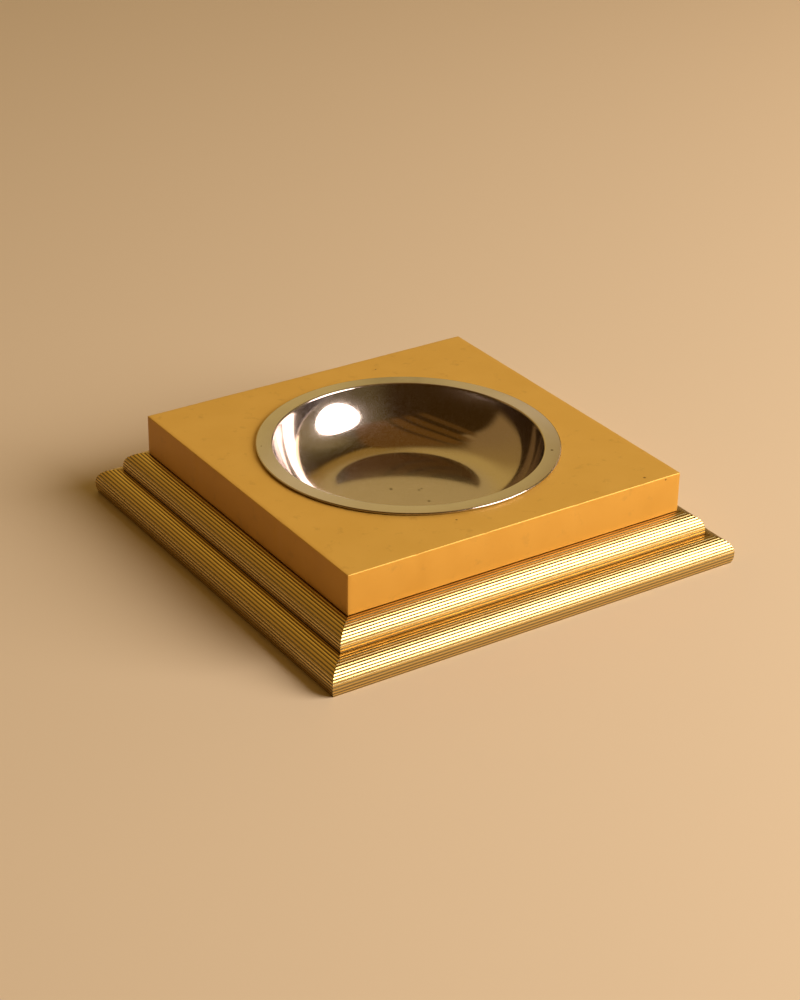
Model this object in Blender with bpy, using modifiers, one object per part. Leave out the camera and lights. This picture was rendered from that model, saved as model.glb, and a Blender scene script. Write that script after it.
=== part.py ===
"""Valet tray: a brass-clad block on two reeded brass tiers, with a spun steel bowl that lifts out."""

import math

import bmesh
import bpy
import numpy as np
from mathutils import Matrix

# Top block, measured over its brass cover
BLOCK_SIDE = 0.172
BLOCK_HEIGHT = 0.0186
COVER_SHEET = 0.0008
COVER_EDGE_RADIUS = 0.0003

# Two tiers under the block, each a board with a reeded bar along every edge
UPPER_TIER_HEIGHT = 0.00985
LOWER_TIER_HEIGHT = 0.01275
TIER_STEP = 0.0097
BAR_PROJECTION = 0.0091
BAR_TUCK = 0.003
NOSE_DROP = 0.0084
TOP_SLOPE = math.radians(8)
TOP_HANDLE_SHARE = 0.62
NOSE_HANDLE_SHARE = 0.57
UNDER_RADIUS = 0.0125
REED_PITCH = 0.00146
REED_HEIGHT = 0.00015
REED_POINTS = 6
CURVE_SAMPLES = 401

# Spun bowl that hangs by its flat flange in the bored block
RIM_MARGIN = 0.0178
WALL_REACH = 0.0286
FLANGE_WIDTH = 0.0077
BOWL_SHEET = 0.001
BOWL_FOOT_SPACE = 0.0042
LIP_SLOPE = math.radians(75.5)
FLOOR_HANDLE_SHARE = 0.34
LIP_HANDLE_SHARE = 0.845
WALL_POINTS = 10
ROUND_POINTS = 4
ROUND_STEPS = 64

# Clearances
GAP = 0.0003
FLOOR_GAP = 0.0003
COVER_HOLE_CLEARANCE = 0.0005
BORE_CLEARANCE = 0.0015
CUT_OVERRUN = 0.001
MERGE_DISTANCE = 0.00001

# Felt let into the underside
FELT_THICKNESS = 0.0015
FELT_INSET = 0.008

# Wood screws from the underside into the block's core
SCREW_INSET = 0.016
SCREW_BITE = 0.008
SCREW_RADIUS = 0.002
SCREW_HEAD_RADIUS = 0.004
SCREW_SINK = 0.0005
FASTENER_STEPS = 12

# Pins in the back of each reeded bar
PIN_RADIUS = 0.0015
PIN_IN_BAR = 0.005
PIN_IN_BOARD = 0.008
PIN_SPREAD = 0.05

# Levels and radii that follow from the sizes above
HALF_BLOCK = BLOCK_SIDE / 2
UPPER_BOARD_EDGE = HALF_BLOCK - BAR_TUCK
LOWER_BOARD_EDGE = UPPER_BOARD_EDGE + TIER_STEP
LOWER_BASE_Z = FLOOR_GAP
UPPER_BASE_Z = LOWER_BASE_Z + LOWER_TIER_HEIGHT + GAP
BLOCK_BASE_Z = UPPER_BASE_Z + UPPER_TIER_HEIGHT + GAP
BLOCK_TOP_Z = BLOCK_BASE_Z + BLOCK_HEIGHT
CORE_TOP_Z = BLOCK_TOP_Z - COVER_SHEET - GAP
RIM_TOP_Z = BLOCK_TOP_Z + GAP + BOWL_SHEET
FELT_RECESS_Z = FELT_THICKNESS + GAP
RIM_RADIUS = HALF_BLOCK - RIM_MARGIN
MOUTH_RADIUS = RIM_RADIUS - FLANGE_WIDTH
FLOOR_RADIUS = MOUTH_RADIUS - WALL_REACH
BOWL_DEPTH = RIM_TOP_Z - UPPER_BASE_Z - BOWL_FOOT_SPACE - BOWL_SHEET
QUARTER_TURN = math.pi / 2

# Edges in the order that a quarter turn takes them, and corners as right and back directions
SIDES = ("front", "right", "back", "left")
CORNERS = {"front_left": (-1, -1), "front_right": (1, -1), "back_right": (1, 1), "back_left": (-1, 1)}


def new_collection(name):
    """Add a collection to the scene"""
    collection = bpy.data.collections.new(name)
    bpy.context.scene.collection.children.link(collection)
    return collection


def new_material(name, colour, roughness, metallic):
    """Make a plain Principled material"""
    material = bpy.data.materials.new(name)
    material.use_nodes = True
    shader = material.node_tree.nodes["Principled BSDF"]
    shader.inputs["Base Color"].default_value = (*colour, 1)
    shader.inputs["Roughness"].default_value = roughness
    shader.inputs["Metallic"].default_value = metallic
    return material


for leftover in list(bpy.data.objects):
    bpy.data.objects.remove(leftover, do_unlink=True)

PARTS = new_collection("valet_tray")
CUTTERS = new_collection("cutters")
BRASS_SHEET = new_material("satin_brass_sheet", (0.58, 0.29, 0.05), 0.4, 1)
REEDED_BRASS = new_material("polished_reeded_brass", (0.78, 0.52, 0.17), 0.2, 1)
STEEL = new_material("polished_stainless_steel", (0.6, 0.58, 0.54), 0.12, 1)
TIMBER = new_material("beech_board", (0.5, 0.32, 0.17), 0.6, 0)
FELT = new_material("green_felt", (0.03, 0.07, 0.04), 0.95, 0)
SCREW_STEEL = new_material("zinc_plated_steel", (0.5, 0.5, 0.48), 0.35, 1)


def place(name, mesh, material=None):
    """Link a mesh as a part of the tray, or as a hidden cutter where it has no material"""
    part = bpy.data.objects.new(name, mesh)
    if material is None:
        CUTTERS.objects.link(part)
        part.hide_render = True
        part.display_type = "WIRE"
        return part
    if not mesh.materials:
        mesh.materials.append(material)
    PARTS.objects.link(part)
    return part


def to_mesh(name, bm):
    """Turn a bmesh into mesh data"""
    mesh = bpy.data.meshes.new(name)
    bm.to_mesh(mesh)
    bm.free()
    return mesh


def block(name, side, base_z, top_z, material=None):
    """Square block centred on the tray's axis, from base_z to top_z"""
    bm = bmesh.new()
    bmesh.ops.create_cube(bm, size=1)
    bmesh.ops.scale(bm, vec=(side, side, top_z - base_z), verts=bm.verts)
    bmesh.ops.translate(bm, vec=(0, 0, (base_z + top_z) / 2), verts=bm.verts)
    return place(name, to_mesh(name, bm), material)


def round_cutter(name, radius, base_z, top_z):
    """Upright cylinder on the tray's axis"""
    bm = bmesh.new()
    middle = Matrix.Translation((0, 0, (base_z + top_z) / 2))
    bmesh.ops.create_cone(bm, cap_ends=True, segments=ROUND_STEPS, radius1=radius, radius2=radius,
                          depth=top_z - base_z, matrix=middle)
    return place(name, to_mesh(name, bm))


def turned(name, profile, steps, material=None):
    """Turn a profile of (radius, height) pairs, listed down its outer side, about the object's Z"""
    mesh = bpy.data.meshes.new(name)
    points = [(radius, 0, height) for radius, height in profile]
    mesh.from_pydata(points, [(i, i + 1) for i in range(len(points) - 1)], [])
    part = place(name, mesh, material)
    spin = part.modifiers.new("turn", "SCREW")
    spin.steps = steps
    spin.render_steps = steps
    spin.use_merge_vertices = True
    spin.merge_threshold = MERGE_DISTANCE
    return part


def cut(part, *cutters):
    """Take each cutter out of a part"""
    for cutter in cutters:
        modifier = part.modifiers.new(cutter.name, "BOOLEAN")
        modifier.operation = "DIFFERENCE"
        modifier.object = cutter


def arc(centre_r, centre_z, radius, start, end, points):
    """Points of a round arc, both ends included, with its angle measured from +radius"""
    angles = [start + (end - start) * i / points for i in range(points + 1)]
    return [(centre_r + radius * math.cos(a), centre_z + radius * math.sin(a)) for a in angles]


def cubic(start, low, high, end, steps):
    """Points of a cubic curve, both ends included, and its unit direction at each"""
    way = np.linspace(0, 1, steps + 1)[:, None]
    back = 1 - way
    points = back ** 3 * start + 3 * way * back ** 2 * low + 3 * way ** 2 * back * high + way ** 3 * end
    along = back ** 2 * (low - start) + 2 * way * back * (high - low) + way ** 2 * (end - high)
    return points, along / np.linalg.norm(along, axis=1, keepdims=True)


def bowl_wall(start, end):
    """Points of the wall's inner curve and their outward normals, level at the floor and steep at the lip"""
    start = np.array(start)
    end = np.array(end)
    reach, rise = end - start
    low = start + (FLOOR_HANDLE_SHARE * reach, 0)
    high = end - LIP_HANDLE_SHARE * rise * np.array((math.cos(LIP_SLOPE), math.sin(LIP_SLOPE)))
    points, along = cubic(start, low, high, end, WALL_POINTS)
    return points, along[:, ::-1] * (1, -1)


def bowl_profile():
    """Closed wall of the bowl from its axis over the rim and back, with heights from the rim's top"""
    floor_z = -BOWL_DEPTH
    edge_round = BOWL_SHEET / 2
    lip = arc(MOUTH_RADIUS + BOWL_SHEET, -BOWL_SHEET, BOWL_SHEET, LIP_SLOPE + QUARTER_TURN,
              QUARTER_TURN, ROUND_POINTS)
    rim = arc(RIM_RADIUS - edge_round, -edge_round, edge_round, QUARTER_TURN, -QUARTER_TURN,
              2 * ROUND_POINTS)
    inside, outward = bowl_wall((FLOOR_RADIUS, floor_z), lip[0])
    outside = inside + BOWL_SHEET * outward
    inside = [(0, floor_z)] + inside.tolist()
    outside = outside[::-1].tolist() + [(0, floor_z - BOWL_SHEET)]
    return inside + lip[1:] + rim + outside


def bar_outline(height):
    """Nosed section as pairs from the bar's back and its middle, with reeds in front of the tucked part"""
    reach = BAR_PROJECTION - REED_HEIGHT
    drop = NOSE_DROP - REED_HEIGHT
    start = np.array((BAR_TUCK, height / 2 - REED_HEIGHT))
    nose = start + (reach, -drop)
    low = start + TOP_HANDLE_SHARE * reach * np.array((math.cos(TOP_SLOPE), -math.sin(TOP_SLOPE)))
    high = nose + (0, NOSE_HANDLE_SHARE * drop)
    over_nose = cubic(start, low, high, nose, CURVE_SAMPLES)[0]
    depth = np.linspace(0, height - NOSE_DROP, CURVE_SAMPLES)[1:]
    under_nose = np.column_stack((np.sqrt(UNDER_RADIUS ** 2 - depth ** 2) - UNDER_RADIUS, -depth))
    across, up = np.concatenate((over_nose, nose + under_nose)).T
    run = np.concatenate(([0], np.cumsum(np.hypot(np.diff(across), np.diff(up)))))
    step = REED_PITCH / REED_POINTS
    places = np.append(np.arange(0, run[-1] - step / 2, step), run[-1])
    across = np.interp(places, run, across)
    up = np.interp(places, run, up)
    along_r = np.gradient(across)
    along_z = np.gradient(up)
    length = np.hypot(along_r, along_z)
    bulge = REED_HEIGHT * np.abs(np.sin(math.pi * places / REED_PITCH))
    across = across - bulge * along_z / length
    up = up + bulge * along_r / length
    return [(0, height / 2 - REED_HEIGHT)] + list(zip(across.tolist(), up.tolist())) + [(0, -height / 2)]


def bar_mesh(name, height, board_edge):
    """Extrude the section along the board's front edge and slope its ends to the mitre"""
    outline = bar_outline(height)
    curve = bpy.data.curves.new(name, "CURVE")
    curve.dimensions = "2D"
    curve.fill_mode = "BOTH"
    curve.extrude = board_edge - GAP / math.sqrt(2)
    spline = curve.splines.new("POLY")
    spline.points.add(len(outline) - 1)
    for point, (across, up) in zip(spline.points, outline):
        point.co = (across, up, 0, 1)
    spline.use_cyclic_u = True
    guide = bpy.data.objects.new(name, curve)
    CUTTERS.objects.link(guide)
    mesh = bpy.data.meshes.new_from_object(guide.evaluated_get(bpy.context.evaluated_depsgraph_get()))
    bpy.data.objects.remove(guide)
    bm = bmesh.new()
    bm.from_mesh(mesh)
    bmesh.ops.remove_doubles(bm, verts=bm.verts, dist=MERGE_DISTANCE)
    for vertex in bm.verts:
        vertex.co.z += math.copysign(vertex.co.x, vertex.co.z)
    to_front = Matrix(((0, 0, -1), (-1, 0, 0), (0, 1, 0)))
    bmesh.ops.rotate(bm, matrix=to_front, verts=bm.verts)
    bmesh.ops.translate(bm, vec=(0, -board_edge, 0), verts=bm.verts)
    bm.to_mesh(mesh)
    bm.free()
    return mesh


def bars(tier, height, base_z, board_edge, pin_holes):
    """Four mitred bars, one along each edge of a tier's board"""
    mesh = bar_mesh(tier + "_moulding", height, board_edge)
    for turns, side in enumerate(SIDES):
        bar = place(f"{tier}_moulding_{side}", mesh, REEDED_BRASS)
        bar.location.z = base_z + height / 2
        bar.rotation_euler.z = turns * QUARTER_TURN
        cut(bar, pin_holes)


def pin_spots(mid_z, board_edge):
    """Name and place of two pins to each edge of a tier, half in the bar and half in the board"""
    middle = board_edge + (PIN_IN_BAR - PIN_IN_BOARD) / 2
    lying = Matrix.Rotation(QUARTER_TURN, 4, "X")
    for turns, side in enumerate(SIDES):
        turn = Matrix.Rotation(turns * QUARTER_TURN, 4, "Z")
        for number, across in enumerate((-PIN_SPREAD, PIN_SPREAD), start=1):
            yield f"{side}_{number}", turn @ Matrix.Translation((across, -middle, mid_z)) @ lying


def add_pin(bm, clearance, spot):
    """Add a pin, or its hole where there is a clearance, to a bmesh"""
    radius = PIN_RADIUS + clearance
    length = PIN_IN_BAR + PIN_IN_BOARD + 2 * clearance
    bmesh.ops.create_cone(bm, cap_ends=True, segments=FASTENER_STEPS, radius1=radius, radius2=radius,
                          depth=length, matrix=spot)


def pins(tier, mid_z, board_edge):
    """Each pin as a piece of its own"""
    bm = bmesh.new()
    add_pin(bm, 0, Matrix())
    mesh = to_mesh(tier + "_pin", bm)
    for name, spot in pin_spots(mid_z, board_edge):
        place(f"{tier}_pin_{name}", mesh, REEDED_BRASS).matrix_world = spot


def pin_cutter(name, mid_z, board_edge):
    """All the pin holes of a tier"""
    bm = bmesh.new()
    for _, spot in pin_spots(mid_z, board_edge):
        add_pin(bm, GAP, spot)
    return place(name, to_mesh(name, bm))


def screw_profile(clearance, overrun):
    """Countersunk wood screw, head down, with heights from the head's flat face"""
    length = BLOCK_BASE_Z + SCREW_BITE - FELT_RECESS_Z - SCREW_SINK + clearance
    shank = SCREW_RADIUS + clearance
    head = SCREW_HEAD_RADIUS + clearance
    cone = SCREW_HEAD_RADIUS - SCREW_RADIUS
    profile = [(0, length), (shank, length - SCREW_RADIUS), (shank, cone + clearance), (head, clearance)]
    return profile + [(head, -overrun), (0, -overrun)]


def screws(name, clearance, overrun, material=None):
    """One screw in each corner, from the felt's recess up into the block's core"""
    reach = HALF_BLOCK - SCREW_INSET
    made = []
    for corner, (right, back) in CORNERS.items():
        screw = turned(f"{name}_{corner}", screw_profile(clearance, overrun), FASTENER_STEPS, material)
        screw.location = (right * reach, back * reach, FELT_RECESS_Z + SCREW_SINK)
        made.append(screw)
    return made


# Cutters shared by several pieces
bore = round_cutter("bore", MOUTH_RADIUS + BOWL_SHEET + BORE_CLEARANCE, UPPER_BASE_Z - GAP / 2,
                    BLOCK_TOP_Z + CUT_OVERRUN)
cover_hole = round_cutter("cover_hole", MOUTH_RADIUS + BOWL_SHEET + COVER_HOLE_CLEARANCE,
                          BLOCK_BASE_Z, BLOCK_TOP_Z + CUT_OVERRUN)
cover_hollow = block("cover_hollow", BLOCK_SIDE - 2 * COVER_SHEET, BLOCK_BASE_Z - CUT_OVERRUN,
                     BLOCK_TOP_Z - COVER_SHEET)
screw_holes = screws("screw_hole", GAP, SCREW_SINK + CUT_OVERRUN)
felt_side = 2 * (LOWER_BOARD_EDGE - FELT_INSET)
felt_recess = block("felt_recess", felt_side + 2 * GAP, LOWER_BASE_Z - CUT_OVERRUN, FELT_RECESS_Z)
upper_pin_z = UPPER_BASE_Z + UPPER_TIER_HEIGHT / 2
lower_pin_z = LOWER_BASE_Z + LOWER_TIER_HEIGHT / 2
upper_pin_holes = pin_cutter("upper_pin_holes", upper_pin_z, UPPER_BOARD_EDGE)
lower_pin_holes = pin_cutter("lower_pin_holes", lower_pin_z, LOWER_BOARD_EDGE)

# Folded brass cover of the block, open underneath
top_cover = block("top_cover", BLOCK_SIDE, BLOCK_BASE_Z, BLOCK_TOP_Z, BRASS_SHEET)
rounding = top_cover.modifiers.new("edges", "BEVEL")
rounding.width = COVER_EDGE_RADIUS
rounding.segments = 2
cut(top_cover, cover_hollow, cover_hole)

# Timber core inside the cover
core_side = BLOCK_SIDE - 2 * (COVER_SHEET + GAP)
top_core = block("top_core", core_side, BLOCK_BASE_Z, CORE_TOP_Z, TIMBER)
cut(top_core, bore, *screw_holes)

# Spun bowl, with its origin on the axis that it lifts along
bowl = turned("bowl", bowl_profile(), ROUND_STEPS, STEEL)
bowl.location.z = RIM_TOP_Z

# Upper tier
upper_board = block("upper_board", 2 * (UPPER_BOARD_EDGE - GAP), UPPER_BASE_Z,
                    UPPER_BASE_Z + UPPER_TIER_HEIGHT, TIMBER)
cut(upper_board, bore, upper_pin_holes, *screw_holes)
bars("upper", UPPER_TIER_HEIGHT, UPPER_BASE_Z, UPPER_BOARD_EDGE, upper_pin_holes)
pins("upper", upper_pin_z, UPPER_BOARD_EDGE)

# Lower tier
lower_board = block("lower_board", 2 * (LOWER_BOARD_EDGE - GAP), LOWER_BASE_Z,
                    LOWER_BASE_Z + LOWER_TIER_HEIGHT, TIMBER)
cut(lower_board, felt_recess, lower_pin_holes, *screw_holes)
bars("lower", LOWER_TIER_HEIGHT, LOWER_BASE_Z, LOWER_BOARD_EDGE, lower_pin_holes)
pins("lower", lower_pin_z, LOWER_BOARD_EDGE)

# Felt pad that the tray rests on, and the screws above it
block("base_felt", felt_side, 0, FELT_THICKNESS, FELT)
screws("assembly_screw", 0, 0, SCREW_STEEL)
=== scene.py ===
"""Valet tray: brass-clad block on two reeded brass tiers, with a spun steel bowl in its top."""
import math

import bpy
from mathutils import Matrix, Vector


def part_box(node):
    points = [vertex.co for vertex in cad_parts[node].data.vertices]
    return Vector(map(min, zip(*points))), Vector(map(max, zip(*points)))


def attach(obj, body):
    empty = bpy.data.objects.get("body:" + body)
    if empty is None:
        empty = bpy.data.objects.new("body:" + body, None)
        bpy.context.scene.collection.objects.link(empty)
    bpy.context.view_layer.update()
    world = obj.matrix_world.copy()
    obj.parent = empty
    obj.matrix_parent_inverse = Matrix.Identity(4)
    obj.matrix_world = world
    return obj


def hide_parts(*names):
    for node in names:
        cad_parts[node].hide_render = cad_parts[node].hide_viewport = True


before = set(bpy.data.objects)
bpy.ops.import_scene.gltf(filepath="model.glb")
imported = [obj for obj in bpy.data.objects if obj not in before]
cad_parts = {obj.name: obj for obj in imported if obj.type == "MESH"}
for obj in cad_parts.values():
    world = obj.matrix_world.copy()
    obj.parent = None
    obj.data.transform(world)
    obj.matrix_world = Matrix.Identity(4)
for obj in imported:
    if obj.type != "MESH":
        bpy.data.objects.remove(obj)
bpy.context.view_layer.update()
MM = 0.001

# Camera. It stands about a metre from the tray, 28 degrees above it and off its front left corner,
# with the long lens that the photograph's straight edges gave.
CAMERA_PLACE = (-519.4, -774.2, 467.2)
CAMERA_TURN = (61.991, -0.813, -33.216)
CAMERA_LENS = 84.01
camera = bpy.data.objects.new("camera", bpy.data.cameras.new("camera"))
bpy.context.scene.collection.objects.link(camera)
bpy.context.scene.camera = camera
bpy.context.scene.view_settings.view_transform = "Standard"
block_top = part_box("top_cover")[1].z
across, ahead, above_block = (value * MM for value in CAMERA_PLACE)
camera.location = (across, ahead, block_top + above_block)
camera.rotation_euler = [math.radians(angle) for angle in CAMERA_TURN]
camera.data.sensor_fit = "VERTICAL"
camera.data.sensor_height = 36
camera.data.lens = CAMERA_LENS
camera.data.clip_start = 10 * MM


# Table top. A wide board, sprayed with pale matt furniture lacquer. That gives it a low sheen and
# a faint orange peel, which is finer than a pixel and only breaks up the sheen.
def linear(hex_colour):
    """Linear RGBA of an sRGB colour in hex"""
    channels = [int(hex_colour[i:i + 2], 16) / 255 for i in (0, 2, 4)]
    return [c / 12.92 if c <= 0.04045 else ((c + 0.055) / 1.055) ** 2.4 for c in channels] + [1]


def add_node(tree, kind, links, **settings):
    """Add a node with its settings, and fill its sockets from other sockets or with constants"""
    node = tree.nodes.new(kind)
    for name, value in settings.items():
        setattr(node, name, value)
    for socket, value in links.items():
        if isinstance(value, bpy.types.NodeSocket):
            tree.links.new(value, node.inputs[socket])
        else:
            node.inputs[socket].default_value = value
    return node


def new_material(name, **constants):
    """Make a material, and give its shader its constants, with spaces for the underlines"""
    material = bpy.data.materials.new(name)
    material.use_nodes = True
    shader = material.node_tree.nodes["Principled BSDF"]
    for socket, value in constants.items():
        shader.inputs[socket.replace("_", " ")].default_value = value
    return material, material.node_tree, shader


def per_metre(size):
    """Noise scale that gives features of a real size"""
    return 1 / size


TABLE_COLOUR = "ddccb0"
TABLE_SIDE = 8
PEEL_SIZE = 1.5 * MM
PEEL_DEPTH = 0.02 * MM
table_lacquer, tree, shader = new_material("sprayed_matt_lacquer", Base_Color=linear(TABLE_COLOUR),
                                           Roughness=0.6, Specular_IOR_Level=0.12)
place = add_node(tree, "ShaderNodeTexCoord", {}).outputs["Object"]
peel = add_node(tree, "ShaderNodeTexNoise", {"Vector": place, "Scale": per_metre(PEEL_SIZE)})
bump = add_node(tree, "ShaderNodeBump", {"Height": peel.outputs["Fac"], "Strength": 0.05,
                                         "Distance": PEEL_DEPTH})
tree.links.new(bump.outputs["Normal"], shader.inputs["Normal"])

bpy.ops.object.select_all(action="DESELECT")
bpy.ops.mesh.primitive_plane_add(size=TABLE_SIDE, location=(0, 0, 0))
table = bpy.context.active_object
table.name = "table"
table.data.materials.append(table_lacquer)


# Room and lamps. One round soft lamp stands at the right and in front, a low strip lies beyond it,
# and the dim room has a lit wall behind the tray, a dark end and a ceiling with brown beams. Only
# the bowl and the reeds mirror them clearly.
def toward(azimuth, elevation):
    """Unit vector from the tray, with the azimuth counted from +X towards +Y, in degrees"""
    turn = math.radians(azimuth)
    climb = math.radians(elevation)
    flat = math.cos(climb)
    return Vector((flat * math.cos(turn), flat * math.sin(turn), math.sin(climb)))


def span(tree, value, start, end, soft):
    """Factor that is 1 between two values and fades to 0 within soft of each"""
    rise = add_node(tree, "ShaderNodeMapRange", {"Value": value, "From Min": start - soft,
                                                 "From Max": start + soft},
                    interpolation_type="SMOOTHSTEP")
    fall = add_node(tree, "ShaderNodeMapRange", {"Value": value, "From Min": end + soft,
                                                 "From Max": end - soft},
                    interpolation_type="SMOOTHSTEP")
    return add_node(tree, "ShaderNodeMath", {0: rise.outputs["Result"], 1: fall.outputs["Result"]},
                    operation="MULTIPLY").outputs["Value"]


# Patches of light: azimuth from and to, elevation from and to, soft edge in degrees, colour
ROOM_COLOUR = "422b0b"
ROOM_PATCHES = (
    (-100, 18, -10, 66, 14, "67562d"),
    (-28, 0, -10, 58, 8, "907d4c"),
    (30, 52, 16, 62, 6, "ac8539"),
    (160, 200, 3, 10, 3, "452f08"),
    (-200, -168, 3, 10, 3, "452f08"),
    (54, 154, 7, 60, 5, "a17f49"),
    (54, 118, 5, 58, 24, "ae8b48"),
    (54, 92, -10, 58, 12, "d8b563"),
    (44, 68, 12, 40, 10, "d4b570"),
)
# Beams of the ceiling: start, end and soft edge across it, for a ceiling one metre up, and colour
BEAMS = (
    (-0.88, -0.69, 0.03, "68471a"),
    (-0.54, -0.37, 0.03, "6e4a18"),
    (-0.3, -0.12, 0.03, "78511c"),
    (-0.07, 0.45, 0.04, "7a531f"),
)
BEAM_ENDS = (-0.75, 0.45)
BEAM_END_SOFT = 0.12
LOWEST_CEILING = 0.2
world = bpy.data.worlds.new("dim_room")
bpy.context.scene.world = world
world.use_nodes = True
tree = world.node_tree
ray = add_node(tree, "ShaderNodeTexCoord", {}).outputs["Generated"]
parts = add_node(tree, "ShaderNodeSeparateXYZ", {"Vector": ray}).outputs
around = add_node(tree, "ShaderNodeMath", {0: parts["Y"], 1: parts["X"]},
                  operation="ARCTAN2").outputs["Value"]
above = add_node(tree, "ShaderNodeMath", {0: parts["Z"]}, operation="ARCSINE").outputs["Value"]
glow = linear(ROOM_COLOUR)
for *angles, colour in ROOM_PATCHES:
    start, end, low_end, high_end, soft = (math.radians(angle) for angle in angles)
    across = span(tree, around, start, end, soft)
    up = span(tree, above, low_end, high_end, soft)
    share = add_node(tree, "ShaderNodeMath", {0: across, 1: up}, operation="MULTIPLY")
    glow = add_node(tree, "ShaderNodeMix", {"Factor": share.outputs["Value"], "A": glow,
                                            "B": linear(colour)},
                    data_type="RGBA").outputs["Result"]
overhead = add_node(tree, "ShaderNodeMath", {0: parts["Z"], 1: LOWEST_CEILING},
                    operation="MAXIMUM")
plan_x, plan_y = (add_node(tree, "ShaderNodeMath", {0: parts[axis], 1: overhead.outputs["Value"]},
                           operation="DIVIDE").outputs["Value"] for axis in "XY")
beam_run = span(tree, plan_y, *BEAM_ENDS, BEAM_END_SOFT)
for start, end, soft, colour in BEAMS:
    across = span(tree, plan_x, start, end, soft)
    share = add_node(tree, "ShaderNodeMath", {0: across, 1: beam_run}, operation="MULTIPLY")
    glow = add_node(tree, "ShaderNodeMix", {"Factor": share.outputs["Value"], "A": glow,
                                            "B": linear(colour)},
                    data_type="RGBA").outputs["Result"]
tree.links.new(glow, tree.nodes["Background"].inputs["Color"])


def lamp(name, azimuth, elevation, distance, width, height, tilt, radiance, colour):
    """Soft oval lamp that faces the tray, with its width and height given as angles"""
    light = bpy.data.lights.new(name, "AREA")
    light.shape = "ELLIPSE"
    light.size = 2 * distance * math.tan(math.radians(width / 2))
    light.size_y = 2 * distance * math.tan(math.radians(height / 2))
    light.energy = radiance * math.pi * math.pi / 4 * light.size * light.size_y
    light.color = linear(colour)[:3]
    holder = bpy.data.objects.new(name, light)
    holder.location = Vector((0, 0, block_top)) + toward(azimuth, elevation) * distance
    facing = toward(azimuth, elevation).to_track_quat("Z", "Y").to_matrix()
    holder.rotation_euler = (facing @ Matrix.Rotation(math.radians(tilt), 3, "Z")).to_euler()
    bpy.context.scene.collection.objects.link(holder)


lamp("key_lamp", azimuth=-49, elevation=29, distance=2, width=41.5, height=41, tilt=0,
     radiance=11.5, colour="ffefe3")
lamp("low_strip", azimuth=13, elevation=14.5, distance=1.2, width=40, height=5.5, tilt=14,
     radiance=3, colour="ffd9b4")


# Top cover. Brass sheet folded over the block and brazed at its corners, rubbed to a satin and
# lacquered gold, which shows the gold more than the metal. Handling has left its edges a little
# wavy, with a few small dents, and the lacquer is blotchy and has brown specks.
def edit(piece):
    """Make a piece the only one selected and enter edit mode with all of it selected"""
    bpy.ops.object.select_all(action="DESELECT")
    piece.select_set(True)
    bpy.context.view_layer.objects.active = piece
    bpy.ops.object.mode_set(mode="EDIT")
    bpy.ops.mesh.select_all(action="SELECT")


def pick(piece, kind, wanted):
    """Select only the wanted faces, edges or vertices of a piece in edit mode"""
    bpy.ops.mesh.select_mode(type=kind)
    bpy.ops.mesh.select_all(action="DESELECT")
    bpy.ops.object.mode_set(mode="OBJECT")
    mesh = piece.data
    for part in {"FACE": mesh.polygons, "EDGE": mesh.edges, "VERT": mesh.vertices}[kind]:
        part.select = wanted(part)
    bpy.ops.object.mode_set(mode="EDIT")


def level_edge(piece):
    """Test that tells whether an edge of a piece lies level"""
    corners = piece.data.vertices

    def is_level(line):
        first, second = line.vertices
        return abs(corners[first].co.z - corners[second].co.z) < MM
    return is_level


def apply_modifier(piece, kind, **settings):
    """Add a modifier with its settings and apply it"""
    bpy.ops.object.select_all(action="DESELECT")
    piece.select_set(True)
    bpy.context.view_layer.objects.active = piece
    modifier = piece.modifiers.new(kind.lower(), kind)
    for name, value in settings.items():
        setattr(modifier, name, value)
    bpy.ops.object.modifier_apply(modifier=modifier.name)


def settle(piece, name, angle):
    """Give a piece its name and smooth shading up to an angle, with its place in its mesh"""
    bpy.ops.object.select_all(action="DESELECT")
    piece.select_set(True)
    bpy.context.view_layer.objects.active = piece
    bpy.ops.object.transform_apply(location=True, rotation=True, scale=True)
    bpy.ops.object.shade_smooth_by_angle(angle=math.radians(angle))
    piece.name = name
    piece.data.name = name


def spots(tree, place, marks):
    """Factor that is 1 inside small round marks, given as x, y, z and radius in millimetres"""
    factor = 0
    for *centre, radius in marks:
        centre = [value * MM for value in centre]
        away = add_node(tree, "ShaderNodeVectorMath", {0: place, 1: centre},
                        operation="DISTANCE").outputs["Value"]
        inside = add_node(tree, "ShaderNodeMapRange",
                          {"Value": away, "From Min": radius * MM,
                           "From Max": radius * MM / 2}).outputs["Result"]
        factor = add_node(tree, "ShaderNodeMath", {0: factor, 1: inside},
                          operation="MAXIMUM").outputs["Value"]
    return factor


low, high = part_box("top_cover")
cover_top = high.z / MM
BLOTCH_SIZE = 18 * MM
SMUDGE_SIZE = 7 * MM
RUB_SIZE = 0.6 * MM
RUB_DEPTH = 0.01 * MM
SIDE_FADE = (0.2 * MM, 0.6 * MM)
# Brown specks: x, y, z and radius in millimetres
COVER_MARKS = (
    (69.5, -81.4, cover_top, 0.8),
    (77.8, -86, cover_top - 1.3, 0.6),
    (-22, -70, cover_top, 0.6),
    (-61, 22, cover_top, 0.4),
    (30, 74, cover_top, 0.5),
)
satin_brass, tree, shader = new_material("satin_gold_lacquered_brass", Metallic=0.3,
                                         Specular_IOR_Level=0.3)
place = add_node(tree, "ShaderNodeTexCoord", {}).outputs["Object"]
blotch = add_node(tree, "ShaderNodeTexNoise", {"Vector": place, "Scale": per_metre(BLOTCH_SIZE),
                                               "Detail": 3})
tone = add_node(tree, "ShaderNodeMix", {"Factor": blotch.outputs["Fac"], "A": linear("d2a547"),
                                        "B": linear("deb356")}, data_type="RGBA").outputs["Result"]
height = add_node(tree, "ShaderNodeSeparateXYZ", {"Vector": place}).outputs["Z"]
# The sides are drawn a touch darker and redder than the top
side_start, side_full = (high.z - drop for drop in SIDE_FADE)
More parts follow.
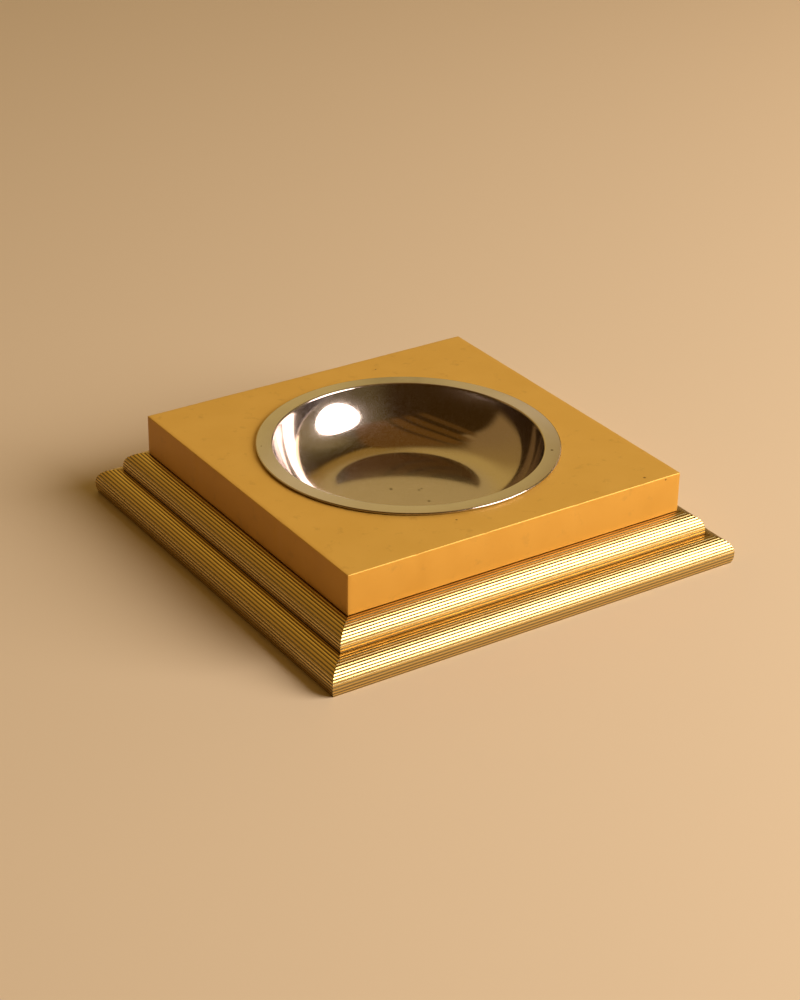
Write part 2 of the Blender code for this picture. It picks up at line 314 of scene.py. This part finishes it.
side = add_node(tree, "ShaderNodeMapRange", {"Value": height, "From Min": side_start,
                                             "From Max": side_full}).outputs["Result"]
tone = add_node(tree, "ShaderNodeMix", {"Factor": side, "A": tone, "B": linear("f4e5ce")},
                data_type="RGBA", blend_type="MULTIPLY").outputs["Result"]
smudge = add_node(tree, "ShaderNodeTexNoise", {"Vector": place, "Scale": per_metre(SMUDGE_SIZE),
                                               "Detail": 5, "Roughness": 0.65})
soiled = add_node(tree, "ShaderNodeMapRange", {"Value": smudge.outputs["Fac"], "From Min": 0.58,
                                               "From Max": 0.74, "To Max": 0.5})
tone = add_node(tree, "ShaderNodeMix", {"Factor": soiled.outputs["Result"], "A": tone,
                                        "B": linear("b48a3c")}, data_type="RGBA").outputs["Result"]
tone = add_node(tree, "ShaderNodeMix", {"Factor": spots(tree, place, COVER_MARKS), "A": tone,
                                        "B": linear("7a5520")}, data_type="RGBA").outputs["Result"]
tree.links.new(tone, shader.inputs["Base Color"])
gloss = add_node(tree, "ShaderNodeMapRange", {"Value": blotch.outputs["Fac"], "To Min": 0.36,
                                              "To Max": 0.46})
tree.links.new(gloss.outputs["Result"], shader.inputs["Roughness"])
rub = add_node(tree, "ShaderNodeTexNoise", {"Vector": place, "Scale": per_metre(RUB_SIZE),
                                            "Detail": 3})
bump = add_node(tree, "ShaderNodeBump", {"Height": rub.outputs["Fac"], "Strength": 0.2,
                                         "Distance": RUB_DEPTH})
tree.links.new(bump.outputs["Normal"], shader.inputs["Normal"])

COVER_SHEET = 0.8 * MM
COVER_HOLE = 62 * MM
SKIRT_DROP = 0.2 * MM
COVER_CUTS = 85
FOLD_STEPS = 3
HOLE_STEPS = 192
FOLD_RADIUS = 0.45 * MM
EDGE_WAVE = 0.14 * MM
EDGE_WAVE_LENGTH = 9 * MM
DENT_INWARD = 0.6
# Dents in the top edges: x, y, depth and reach in millimetres
DENTS = (
    (-52, -86, 0.35, 3.0),
    (-18, -86, 0.25, 2.5),
    (31, -86, 0.3, 3.5),
    (63, -86, 0.22, 2.4),
    (-86, -30, 0.3, 3.0),
    (-86, 38, 0.25, 2.6),
)
skirt = low - Vector((0, 0, SKIRT_DROP))
bpy.ops.object.select_all(action="DESELECT")
bpy.ops.mesh.primitive_cube_add(size=1, location=(skirt + high) / 2, scale=high - skirt)
cover = bpy.context.active_object
bpy.ops.object.transform_apply(location=True, rotation=True, scale=True)
bpy.ops.mesh.primitive_cylinder_add(vertices=HOLE_STEPS, radius=COVER_HOLE, depth=high.z,
                                    location=(0, 0, high.z))
punch = bpy.context.active_object
edit(cover)
pick(cover, "FACE", lambda face: face.normal.z < -0.5)
bpy.ops.mesh.delete(type="FACE")
pick(cover, "EDGE", level_edge(cover))
bpy.ops.mesh.subdivide(number_cuts=COVER_CUTS)
bpy.ops.object.mode_set(mode="OBJECT")
apply_modifier(cover, "BEVEL", width=FOLD_RADIUS, segments=FOLD_STEPS, limit_method="ANGLE",
               angle_limit=math.radians(60))
hand_wear = bpy.data.textures.new("hand_wear", "CLOUDS")
hand_wear.noise_scale = EDGE_WAVE_LENGTH
apply_modifier(cover, "DISPLACE", texture=hand_wear, texture_coords="LOCAL", strength=-EDGE_WAVE,
               mid_level=0)
edit(cover)
for x, y, depth, reach in DENTS:
    spot = Vector((x * MM, y * MM, high.z))
    nearest = min(cover.data.vertices, key=lambda vertex: (vertex.co - spot).length).index
    pick(cover, "VERT", lambda vertex: vertex.index == nearest)
    inward = Vector((-x, 0, 0) if abs(x) > abs(y) else (0, -y, 0)).normalized()
    push = (inward * DENT_INWARD - Vector((0, 0, 1))) * depth * MM
    bpy.ops.transform.translate(value=push, use_proportional_edit=True,
                                proportional_edit_falloff="SMOOTH", proportional_size=reach * MM)
bpy.ops.object.mode_set(mode="OBJECT")
apply_modifier(cover, "SOLIDIFY", thickness=COVER_SHEET, offset=-1, use_even_offset=True)
apply_modifier(cover, "BOOLEAN", object=punch, operation="DIFFERENCE")
bpy.data.objects.remove(punch)
settle(cover, "satin_top_cover", 40)
cover.data.materials.append(satin_brass)
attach(cover, "base")
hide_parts("top_cover")


# Bowl. Stainless steel sheet spun over a former, with a flat flange turned satin and the inside
# polished, so that it mirrors the room with the faint rings of the spinning. Keys and coins have
# scuffed its floor to a haze. The scuffs are drawn too fine to show one by one.
bowl_low, bowl_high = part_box("bowl")
SCUFF_SIZE = 0.1 * MM
PATCH_SIZE = 14 * MM
RING_SPACING = 2.2 * MM
RING_DEPTH = 0.01 * MM
SCUFFED_RADIUS = (40 * MM, 30 * MM)
FLOOR_SCUFFS = 0.05
WALL_SCUFFS = 0.035
POLISHED_GLOSS = 0.06
SCUFFED_GLOSS = 0.42
FLOOR_MARKS = (
    (-5.8, 4.9, bowl_low.z / MM + 1, 0.9),
    (4.4, -2.5, bowl_low.z / MM + 1, 0.7),
    (6.2, -2, bowl_low.z / MM + 1, 0.6),
    (2.4, -13.7, bowl_low.z / MM + 1, 0.8),
)
polished_steel, tree, shader = new_material("polished_stainless_steel", Metallic=1)
place = add_node(tree, "ShaderNodeTexCoord", {}).outputs["Object"]
parts = add_node(tree, "ShaderNodeSeparateXYZ", {"Vector": place}).outputs
flat = add_node(tree, "ShaderNodeCombineXYZ", {"X": parts["X"], "Y": parts["Y"]}).outputs["Vector"]
radius = add_node(tree, "ShaderNodeVectorMath", {0: flat}, operation="LENGTH").outputs["Value"]
worn = add_node(tree, "ShaderNodeMapRange", {"Value": radius, "From Min": SCUFFED_RADIUS[0],
                                             "From Max": SCUFFED_RADIUS[1]}).outputs["Result"]
scuff = add_node(tree, "ShaderNodeTexNoise", {"Vector": place, "Scale": per_metre(SCUFF_SIZE),
                                              "Detail": 2})
patch = add_node(tree, "ShaderNodeTexNoise", {"Vector": place, "Scale": per_metre(PATCH_SIZE),
                                              "Detail": 3})
amount = add_node(tree, "ShaderNodeMath", {0: worn, 1: FLOOR_SCUFFS, 2: WALL_SCUFFS},
                  operation="MULTIPLY_ADD")
edge_start = add_node(tree, "ShaderNodeMath", {0: 0.62, 1: amount.outputs["Value"]},
                      operation="SUBTRACT").outputs["Value"]
haze = add_node(tree, "ShaderNodeMapRange", {"Value": scuff.outputs["Fac"], "From Min": edge_start,
                                             "From Max": 0.68, "To Min": POLISHED_GLOSS,
                                             "To Max": SCUFFED_GLOSS})
soft_patch = add_node(tree, "ShaderNodeMapRange", {"Value": patch.outputs["Fac"],
                                                   "To Max": 0.05})
gloss = add_node(tree, "ShaderNodeMath", {0: haze.outputs["Result"],
                                          1: soft_patch.outputs["Result"]})
tree.links.new(gloss.outputs["Value"], shader.inputs["Roughness"])
tone = add_node(tree, "ShaderNodeMix", {"Factor": patch.outputs["Fac"], "A": linear("bbb1ad"),
                                        "B": linear("c5bab6")}, data_type="RGBA").outputs["Result"]
tone = add_node(tree, "ShaderNodeMix", {"Factor": spots(tree, place, FLOOR_MARKS), "A": tone,
                                        "B": linear("5e5034")}, data_type="RGBA").outputs["Result"]
tree.links.new(tone, shader.inputs["Base Color"])
rings = add_node(tree, "ShaderNodeTexNoise", {"W": radius, "Scale": per_metre(RING_SPACING),
                                              "Detail": 2}, noise_dimensions="1D")
bump = add_node(tree, "ShaderNodeBump", {"Height": rings.outputs["Fac"], "Strength": 0.25,
                                         "Distance": RING_DEPTH})
tree.links.new(bump.outputs["Normal"], shader.inputs["Normal"])

CLOUD_SIZE = 9 * MM
# Painted reflection: the flange is painted darker around this place at its back, where it mirrors
# the dim part of the room
BACK_SHADE_PLACE = (31 * MM, 58 * MM, bowl_high.z)
BACK_SHADE_REACH = (34 * MM, 8 * MM)
RIM_MARKS = ((49.3, -40.9, bowl_high.z / MM, 0.8), (-58.5, 30, bowl_high.z / MM, 0.4))
satin_steel, tree, shader = new_material("satin_stainless_steel", Metallic=1, Roughness=0.36,
                                         Anisotropic=0.6)
place = add_node(tree, "ShaderNodeTexCoord", {}).outputs["Object"]
cloud = add_node(tree, "ShaderNodeTexNoise", {"Vector": place, "Scale": per_metre(CLOUD_SIZE),
                                              "Detail": 4})
tone = add_node(tree, "ShaderNodeMix", {"Factor": cloud.outputs["Fac"], "A": linear("d2ced2"),
                                        "B": linear("dddade")}, data_type="RGBA").outputs["Result"]
back_shade_strength = add_node(tree, "ShaderNodeMapRange", {"Value": cloud.outputs["Fac"], "From Min": 0.3,
                                             "From Max": 0.7, "To Min": 0.2, "To Max": 0.45})
away = add_node(tree, "ShaderNodeVectorMath", {0: place, 1: BACK_SHADE_PLACE},
                operation="DISTANCE").outputs["Value"]
near = add_node(tree, "ShaderNodeMapRange", {"Value": away, "From Min": BACK_SHADE_REACH[0],
                                             "From Max": BACK_SHADE_REACH[1]},
                interpolation_type="SMOOTHSTEP").outputs["Result"]
painted_darkening = add_node(tree, "ShaderNodeMath", {0: near, 1: back_shade_strength.outputs["Result"]},
                  operation="MULTIPLY").outputs["Value"]
# Painted shade on the back of the flange, mixed over its own tone
tone = add_node(tree, "ShaderNodeMix", {"Factor": painted_darkening, "A": tone, "B": linear("7c776b")},
                data_type="RGBA").outputs["Result"]
tone = add_node(tree, "ShaderNodeMix", {"Factor": spots(tree, place, RIM_MARKS), "A": tone,
                                        "B": linear("6a5a3c")}, data_type="RGBA").outputs["Result"]
tree.links.new(tone, shader.inputs["Base Color"])
turned = add_node(tree, "ShaderNodeTangent", {}, direction_type="RADIAL", axis="Z")
tree.links.new(turned.outputs["Tangent"], shader.inputs["Tangent"])

RIM_TOP = bowl_high.z
RIM_RADIUS = bowl_high.x
BOWL_SHEET = 1 * MM
FLANGE_WIDTH = 7.7 * MM
WALL_REACH = 28.6 * MM
LIP_SLOPE = 75.5
FLOOR_HANDLE = 0.34
LIP_HANDLE = 0.845
WALL_STEPS = 56
ROUNDING_STEPS = 10
SPIN_STEPS = 288
BOWL_DEPTH = RIM_TOP - bowl_low.z - BOWL_SHEET
MOUTH_RADIUS = RIM_RADIUS - FLANGE_WIDTH
FLOOR_RADIUS = MOUTH_RADIUS - WALL_REACH


def arc(centre_r, centre_z, radius, start, end, points):
    """Points of a round arc from one angle to another, in degrees"""
    angles = [math.radians(start + (end - start) * i / points) for i in range(points + 1)]
    return [Vector((centre_r + radius * math.cos(a), centre_z + radius * math.sin(a)))
            for a in angles]


def cubic(start, low, high, end, steps):
    """Points of a cubic curve, both ends included, each with its unit direction"""
    points = []
    for i in range(steps + 1):
        way = i / steps
        back = 1 - way
        point = (back ** 3 * start + 3 * way * back ** 2 * low + 3 * way ** 2 * back * high
                 + way ** 3 * end)
        along = back ** 2 * (low - start) + 2 * way * back * (high - low) + way ** 2 * (end - high)
        points.append((point, along.normalized()))
    return points


def slope_vector(angle):
    """Unit vector of a slope in degrees, outward and up"""
    return Vector((math.cos(math.radians(angle)), math.sin(math.radians(angle))))


half_sheet = BOWL_SHEET / 2
lip = arc(MOUTH_RADIUS + BOWL_SHEET, RIM_TOP - BOWL_SHEET, BOWL_SHEET, 90 + LIP_SLOPE, 90,
          ROUNDING_STEPS)
rim = arc(RIM_RADIUS - half_sheet, RIM_TOP - half_sheet, half_sheet, 90, -90, ROUNDING_STEPS)
floor_z = RIM_TOP - BOWL_DEPTH
floor_edge = Vector((FLOOR_RADIUS, floor_z))
reach, rise = lip[0] - floor_edge
wall = cubic(floor_edge, floor_edge + Vector((FLOOR_HANDLE * reach, 0)),
             lip[0] - LIP_HANDLE * rise * slope_vector(LIP_SLOPE), lip[0], WALL_STEPS)
wall_inside = [point for point, along in wall]
wall_outside = [point + BOWL_SHEET * Vector((along.y, -along.x))
                for point, along in reversed(wall)]
inside_floor = [Vector((0, floor_z)), Vector((FLOOR_RADIUS / 2, floor_z))]
under_z = floor_z - BOWL_SHEET
outside_floor = [Vector((FLOOR_RADIUS / 2, under_z)), Vector((0, under_z))]
section = inside_floor + wall_inside + lip[1:] + rim + wall_outside + outside_floor

bpy.ops.object.select_all(action="DESELECT")
bpy.ops.mesh.primitive_plane_add(size=MM, location=(0, 0, 0))
bowl = bpy.context.active_object
edit(bowl)
bpy.ops.mesh.merge(type="CENTER")
bpy.ops.transform.translate(value=(section[0].x, 0, section[0].y))
for point, following in zip(section, section[1:]):
    step = following - point
    bpy.ops.mesh.extrude_region_move(TRANSFORM_OT_translate={"value": (step.x, 0, step.y)})
bpy.ops.mesh.select_all(action="SELECT")
bpy.ops.mesh.spin(steps=SPIN_STEPS, angle=2 * math.pi, center=(0, 0, 0), axis=(0, 0, 1))
bpy.ops.mesh.select_all(action="SELECT")
bpy.ops.mesh.remove_doubles(threshold=0.001 * MM)
bpy.ops.mesh.normals_make_consistent(inside=False)
bpy.ops.object.mode_set(mode="OBJECT")
settle(bowl, "spun_steel_bowl", 50)
bowl.data.materials.append(satin_steel)
bowl.data.materials.append(polished_steel)
for face in bowl.data.polygons:
    radius = math.hypot(face.center.x, face.center.y)
    inside = radius < MOUTH_RADIUS + half_sheet and face.normal.z > 0
    face.material_index = int(inside or radius > RIM_RADIUS - half_sheet)
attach(bowl, "bowl")
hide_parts("bowl")


# Reeded bars. Solid brass bar, drawn through a reeded die to a low nose, mitred and pinned round
# both tiers, then polished. The crests are bright, with faint draw lines along them. The valleys
# keep dull tarnish, because no cloth reaches them. The nook under the tier above is painted with
# shade: the top reeds of each bar are darkened brown there, in streaks along the draw lines.
DRAW_LENGTH = 25 * MM
DRAW_STRETCH = 60
DRAW_GLOSS = 0.06
polished_brass, tree, shader = new_material("polished_reeded_brass", Metallic=1)
crest = add_node(tree, "ShaderNodeAttribute", {}, attribute_name="crest").outputs["Fac"]
nook_shade = add_node(tree, "ShaderNodeAttribute", {}, attribute_name="nook_shade").outputs["Fac"]
run = add_node(tree, "ShaderNodeAttribute", {}, attribute_name="run").outputs["Fac"]
place = add_node(tree, "ShaderNodeTexCoord", {}).outputs["Object"]
parts = add_node(tree, "ShaderNodeSeparateXYZ", {"Vector": place}).outputs
along = add_node(tree, "ShaderNodeMath", {0: parts["X"], 1: parts["Y"]}, operation="ADD")
drawn = add_node(tree, "ShaderNodeCombineXYZ", {"X": along.outputs["Value"], "Y": run})
stretch = add_node(tree, "ShaderNodeMapping", {"Vector": drawn.outputs["Vector"],
                                               "Scale": (1, DRAW_STRETCH, 1)})
draw_lines = add_node(tree, "ShaderNodeTexNoise", {"Vector": stretch.outputs["Vector"],
                                                   "Scale": per_metre(DRAW_LENGTH),
                                                   "Detail": 2}).outputs["Fac"]
clean = add_node(tree, "ShaderNodeMapRange", {"Value": crest, "From Min": 0.45, "From Max": 0.95},
                 interpolation_type="SMOOTHSTEP").outputs["Result"]
tone = add_node(tree, "ShaderNodeMix", {"Factor": clean, "A": linear("80714c"),
                                        "B": linear("dfbf76")}, data_type="RGBA").outputs["Result"]
# Painted shade: the reeds nearest the top of each bar, in the nook under the tier above, are
# darkened towards brown
nook_shading = add_node(tree, "ShaderNodeMath", {0: nook_shade, 1: draw_lines}, operation="MULTIPLY")
painted_darkening = add_node(tree, "ShaderNodeMapRange", {"Value": nook_shading.outputs["Value"], "From Min": 0.05,
                                               "From Max": 0.35}).outputs["Result"]
tone = add_node(tree, "ShaderNodeMix", {"Factor": painted_darkening, "A": tone, "B": linear("886424")},
                data_type="RGBA").outputs["Result"]
tree.links.new(tone, shader.inputs["Base Color"])
gloss = add_node(tree, "ShaderNodeMapRange", {"Value": clean, "To Min": 0.34, "To Max": 0.18})
lined = add_node(tree, "ShaderNodeMapRange", {"Value": draw_lines, "To Min": -DRAW_GLOSS,
                                              "To Max": DRAW_GLOSS})
gloss = add_node(tree, "ShaderNodeMath", {0: gloss.outputs["Result"], 1: lined.outputs["Result"]})
tree.links.new(gloss.outputs["Value"], shader.inputs["Roughness"])

BAR_TUCK = 3 * MM
BAR_PROJECTION = 9.1 * MM
NOSE_DROP = 8.4 * MM
TOP_SLOPE = 8
TOP_HANDLE = 0.62
NOSE_HANDLE = 0.57
UNDER_RADIUS = 12.5 * MM
CURVE_STEPS = 400
REED_PITCH = 1.46 * MM
REED_HEIGHT = 0.16 * MM
REED_STEPS = 12
# How far down from the top of each bar the painted shade of the nook reaches
NOOK_SHADE_REACH = 4.5 * MM
MITRE_GAP = 0.05 * MM
# The bars reach a little below their CAD nodes, which narrows the slit of shade under each
BAR_DROP = 0.22 * MM


def reeded_section(height):
    """Points of the reeded section: out, up, share of a reed's height, run from the top"""
    start = Vector((BAR_TUCK, height / 2 - REED_HEIGHT))
    lead = start - Vector((REED_PITCH, 0))
    reach, drop = BAR_PROJECTION - REED_HEIGHT, NOSE_DROP - REED_HEIGHT
    nose = start + Vector((reach, -drop))
    top_pull = start + TOP_HANDLE * reach * slope_vector(-TOP_SLOPE)
    nose_pull = nose + Vector((0, NOSE_HANDLE * drop))
    smooth = [lead]
    smooth += [point for point, along in cubic(start, top_pull, nose_pull, nose, CURVE_STEPS)]
    for i in range(1, CURVE_STEPS + 1):
        depth = (height - NOSE_DROP) * i / CURVE_STEPS
        inward = UNDER_RADIUS - math.sqrt(UNDER_RADIUS ** 2 - depth ** 2)
        smooth.append(nose - Vector((inward, depth)))
    runs = [0]
    for point, following in zip(smooth, smooth[1:]):
        runs.append(runs[-1] + (following - point).length)
    outline = [(0, height / 2 - REED_HEIGHT, 0, 0)]
    step = 0
    for i in range(int(runs[-1] / REED_PITCH * REED_STEPS) + 1):
        target = REED_PITCH * i / REED_STEPS
        while step < len(runs) - 2 and runs[step + 1] < target:
            step += 1
        length = runs[step + 1] - runs[step]
        along = (smooth[step + 1] - smooth[step]) / length
        across = i / REED_STEPS % 1
        share = 4 * across * (1 - across)
        point = smooth[step] + along * (target - runs[step])
        point += REED_HEIGHT * share * Vector((-along.y, along.x))
        outline.append((*point, share, target))
    return outline + [(*smooth[-1], 0, runs[-1]), (0, -height / 2, 0, runs[-1])]


for tier in ("upper", "lower"):
    low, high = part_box(tier + "_moulding_front")
    low.z -= BAR_DROP
    height = high.z - low.z
    board_edge = -low.y - BAR_TUCK - BAR_PROJECTION
    outline = reeded_section(height)
    bpy.ops.object.select_all(action="DESELECT")
    bpy.ops.mesh.primitive_circle_add(vertices=len(outline), radius=MM, fill_type="NGON",
                                      location=(0, 0, 0))
    bar = bpy.context.active_object
    reach = board_edge + BAR_TUCK + BAR_PROJECTION + MM
    # The nook mark carries the painted shade at the top of each bar
    marks = [bar.data.attributes.new(name, "FLOAT", "POINT") for name in ("crest", "run", "nook_shade")]
    for vertex, (out, up, share, run_length) in zip(bar.data.vertices, outline):
        vertex.co = (-reach, -board_edge - out, (low.z + high.z) / 2 + up)
        nearness = max(0, 1 - run_length / NOOK_SHADE_REACH)
        for mark, value in zip(marks, (share, run_length, nearness)):
            mark.data[vertex.index].value = value
    edit(bar)
    bpy.ops.mesh.extrude_region_move(TRANSFORM_OT_translate={"value": (2 * reach, 0, 0)})
    for end in (-1, 1):
        bpy.ops.mesh.select_all(action="SELECT")
        normal = Vector((end, 1, 0)).normalized()
        bpy.ops.mesh.bisect(plane_co=-normal * MITRE_GAP, plane_no=normal, use_fill=True,
                            clear_outer=True)
    bpy.ops.mesh.select_all(action="SELECT")
    bpy.ops.mesh.normals_make_consistent(inside=False)
    bpy.ops.object.mode_set(mode="OBJECT")
    settle(bar, tier + "_bar_front", 40)
    bar.data.materials.append(polished_brass)
    for turns, side in enumerate(("front", "right", "back", "left")):
        piece = bar
        if turns:
            piece = bpy.data.objects.new(f"{tier}_bar_{side}", bar.data.copy())
            bpy.context.scene.collection.objects.link(piece)
            piece.data.transform(Matrix.Rotation(turns * math.pi / 2, 4, "Z"))
        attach(piece, "base")
        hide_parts(f"{tier}_moulding_{side}")


# Boards and block. Plain beech, planed, bored for the bowl and oiled, which carries the cover and
# the bars. It shows a quiet figure with small dark flecks, and its grain runs along X.
FIGURE_WIDTH = 5 * MM
FIGURE_STRETCH = 0.06
FLECK_WIDTH = 0.9 * MM
FLECK_STRETCH = 0.25
FLECK_DEPTH = 0.05 * MM
beech, tree, shader = new_material("oiled_beech")
place = add_node(tree, "ShaderNodeTexCoord", {}).outputs["Object"]
grained = add_node(tree, "ShaderNodeMapping", {"Vector": place, "Scale": (FIGURE_STRETCH, 1, 1)})
figure = add_node(tree, "ShaderNodeTexNoise", {"Vector": grained.outputs["Vector"],
                                               "Scale": per_metre(FIGURE_WIDTH), "Detail": 5})
tone = add_node(tree, "ShaderNodeMix", {"Factor": figure.outputs["Fac"], "A": linear("b98b58"),
                                        "B": linear("d6b285")}, data_type="RGBA").outputs["Result"]
short = add_node(tree, "ShaderNodeMapping", {"Vector": place, "Scale": (FLECK_STRETCH, 1, 1)})
flecks = add_node(tree, "ShaderNodeTexNoise", {"Vector": short.outputs["Vector"],
                                               "Scale": per_metre(FLECK_WIDTH), "Detail": 1})
fleck = add_node(tree, "ShaderNodeMapRange", {"Value": flecks.outputs["Fac"], "From Min": 0.6,
                                              "From Max": 0.72, "To Max": 0.6})
tone = add_node(tree, "ShaderNodeMix", {"Factor": fleck.outputs["Result"], "A": tone,
                                        "B": linear("8a5f38")}, data_type="RGBA").outputs["Result"]
tree.links.new(tone, shader.inputs["Base Color"])
gloss = add_node(tree, "ShaderNodeMapRange", {"Value": figure.outputs["Fac"], "To Min": 0.5,
                                              "To Max": 0.62})
tree.links.new(gloss.outputs["Result"], shader.inputs["Roughness"])
bump = add_node(tree, "ShaderNodeBump", {"Height": flecks.outputs["Fac"], "Strength": 0.3,
                                         "Distance": FLECK_DEPTH})
tree.links.new(bump.outputs["Normal"], shader.inputs["Normal"])
for name in ("top_core", "upper_board", "lower_board"):
    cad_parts[name].material_slots[0].material = beech


# Pins and screws. The bars' pins are drawn brass rod. The countersunk screws that hold the boards
# to the block are zinc plated steel. Both have a faint cloudy bloom.
BLOOM_SIZE = 1.5 * MM
for name, common_name, dark, light, rough in (
        ("_pin_", "drawn_brass_rod", "b98f42", "d9b465", 0.28),
        ("screw", "zinc_plated_steel", "a5a39a", "c9c9c4", 0.34)):
    metal, tree, shader = new_material(common_name, Metallic=1)
    place = add_node(tree, "ShaderNodeTexCoord", {}).outputs["Object"]
    bloom = add_node(tree, "ShaderNodeTexNoise", {"Vector": place, "Scale": per_metre(BLOOM_SIZE),
                                                  "Detail": 3}).outputs["Fac"]
    tone = add_node(tree, "ShaderNodeMix", {"Factor": bloom, "A": linear(dark),
                                            "B": linear(light)},
                    data_type="RGBA").outputs["Result"]
    tree.links.new(tone, shader.inputs["Base Color"])
    gloss = add_node(tree, "ShaderNodeMapRange", {"Value": bloom, "To Min": rough - 0.06,
                                                  "To Max": rough + 0.1}).outputs["Result"]
    tree.links.new(gloss, shader.inputs["Roughness"])
    for node_name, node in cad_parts.items():
        if name in node_name:
            node.material_slots[0].material = metal


# Felt pad. Pressed green wool felt, cut square and glued into the recess of the lower board. Its
# face is a little uneven and its cut edge is soft. The fibres are drawn coarser than real ones, at
# half a millimetre, so that they show.
FIBRE_SIZE = 0.5 * MM
TUFT_SIZE = 4 * MM
FIBRE_DEPTH = 0.15 * MM
felt, tree, shader = new_material("green_wool_felt", Roughness=0.95, Specular_IOR_Level=0.2,
                                  Sheen_Weight=0.4, Sheen_Roughness=0.5)
place = add_node(tree, "ShaderNodeTexCoord", {}).outputs["Object"]
fibres = add_node(tree, "ShaderNodeTexNoise", {"Vector": place, "Scale": per_metre(FIBRE_SIZE),
                                               "Detail": 4, "Distortion": 1.5})
tufts = add_node(tree, "ShaderNodeTexNoise", {"Vector": place, "Scale": per_metre(TUFT_SIZE),
                                              "Detail": 3})
mottle = add_node(tree, "ShaderNodeMath", {0: fibres.outputs["Fac"], 1: tufts.outputs["Fac"]},
                  operation="MULTIPLY")
blend = add_node(tree, "ShaderNodeMapRange", {"Value": mottle.outputs["Value"], "From Min": 0.15,
                                              "From Max": 0.4})
tone = add_node(tree, "ShaderNodeMix", {"Factor": blend.outputs["Result"], "A": linear("2a3f30"),
                                        "B": linear("466350")}, data_type="RGBA").outputs["Result"]
tree.links.new(tone, shader.inputs["Base Color"])
bump = add_node(tree, "ShaderNodeBump", {"Height": mottle.outputs["Value"], "Strength": 0.8,
                                         "Distance": FIBRE_DEPTH})
tree.links.new(bump.outputs["Normal"], shader.inputs["Normal"])

FELT_CUTS = 60
FELT_NAP = 0.12 * MM
FELT_NAP_LENGTH = 5 * MM
FELT_EDGE = 0.5 * MM
FELT_EDGE_STEPS = 3
low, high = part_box("base_felt")
bpy.ops.object.select_all(action="DESELECT")
bpy.ops.mesh.primitive_cube_add(size=1, location=(low + high) / 2, scale=high - low)
pad = bpy.context.active_object
bpy.ops.object.transform_apply(location=True, rotation=True, scale=True)
edit(pad)
pick(pad, "EDGE", level_edge(pad))
bpy.ops.mesh.subdivide(number_cuts=FELT_CUTS)
bpy.ops.object.mode_set(mode="OBJECT")
apply_modifier(pad, "BEVEL", width=FELT_EDGE, segments=FELT_EDGE_STEPS, limit_method="ANGLE",
               angle_limit=math.radians(60))
nap = bpy.data.textures.new("felt_nap", "CLOUDS")
nap.noise_scale = FELT_NAP_LENGTH
apply_modifier(pad, "DISPLACE", texture=nap, texture_coords="LOCAL", strength=-FELT_NAP,
               mid_level=0)
settle(pad, "green_felt_pad", 60)
pad.data.materials.append(felt)
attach(pad, "base")
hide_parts("base_felt")
